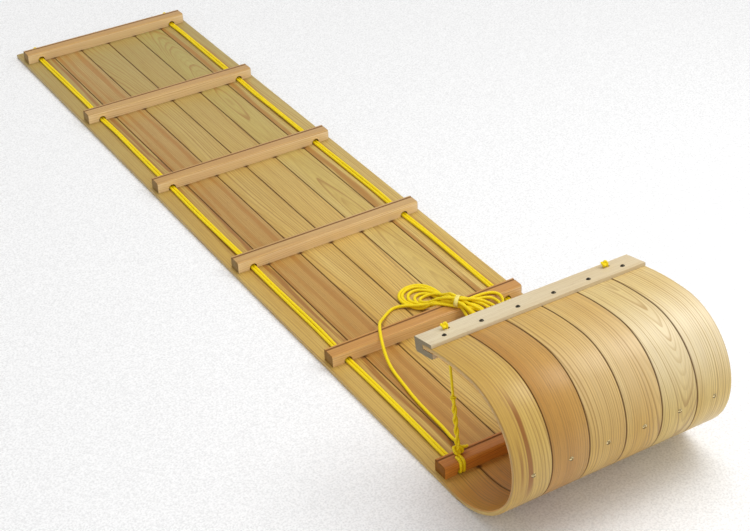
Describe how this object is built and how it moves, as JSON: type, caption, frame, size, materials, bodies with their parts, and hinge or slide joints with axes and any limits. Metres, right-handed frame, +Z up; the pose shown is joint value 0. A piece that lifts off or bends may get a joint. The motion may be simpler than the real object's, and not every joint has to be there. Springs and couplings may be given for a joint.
{
  "type": "wooden toboggan",
  "caption": "Flat-bottomed wooden toboggan: bent slats on crossbars, a curled front held by cord ties to a slotted nose bar, side hand lines and a coiled pull cord.",
  "frame": {"origin": "on the ground, under the middle of the box around the toboggan", "axes": "+Z up; the curled front faces -Y; +X is the left hand of a rider who faces the front"},
  "size_m": [0.4572, 2.2541, 0.2912],
  "materials": {
    "slat_wood": "varnished pale hardwood, long straight grain",
    "crossbar_wood": "varnished honey-coloured hardwood",
    "nose_wood": "very pale hardwood, thin varnish",
    "batten_wood": "plain hardwood",
    "dark_screw": "dark oxide",
    "brass_screw": "yellow zinc, slightly worn",
    "yellow_cord": "braided polypropylene cord"
  },
  "bodies": {
    "root": {"slat_1": "slat_wood", "slat_2": "slat_wood", "slat_3": "slat_wood", "slat_4": "slat_wood", "slat_5": "slat_wood", "slat_6": "slat_wood", "front_crossbar": "crossbar_wood", "crossbar_2": "crossbar_wood", "crossbar_3": "crossbar_wood", "crossbar_4": "crossbar_wood", "crossbar_5": "crossbar_wood", "rear_crossbar": "crossbar_wood", "nose_bar": "nose_wood", "curl_batten": "batten_wood", "nose_screws": "dark_screw", "curl_screws": "brass_screw", "deck_screws": "brass_screw", "hand_line_right": "yellow_cord", "hand_line_left": "yellow_cord", "rear_knot_right": "yellow_cord", "rear_knot_left": "yellow_cord", "tie_knot_right": "yellow_cord", "tie_knot_left": "yellow_cord", "curl_tie_right": "yellow_cord", "curl_tie_left": "yellow_cord", "nose_knot_right": "yellow_cord", "nose_knot_left": "yellow_cord", "pull_cord_right": "yellow_cord", "pull_cord_left": "yellow_cord", "pull_cord_hank": "yellow_cord", "hank_wrap": "yellow_cord"}
  },
  "joints": []
}
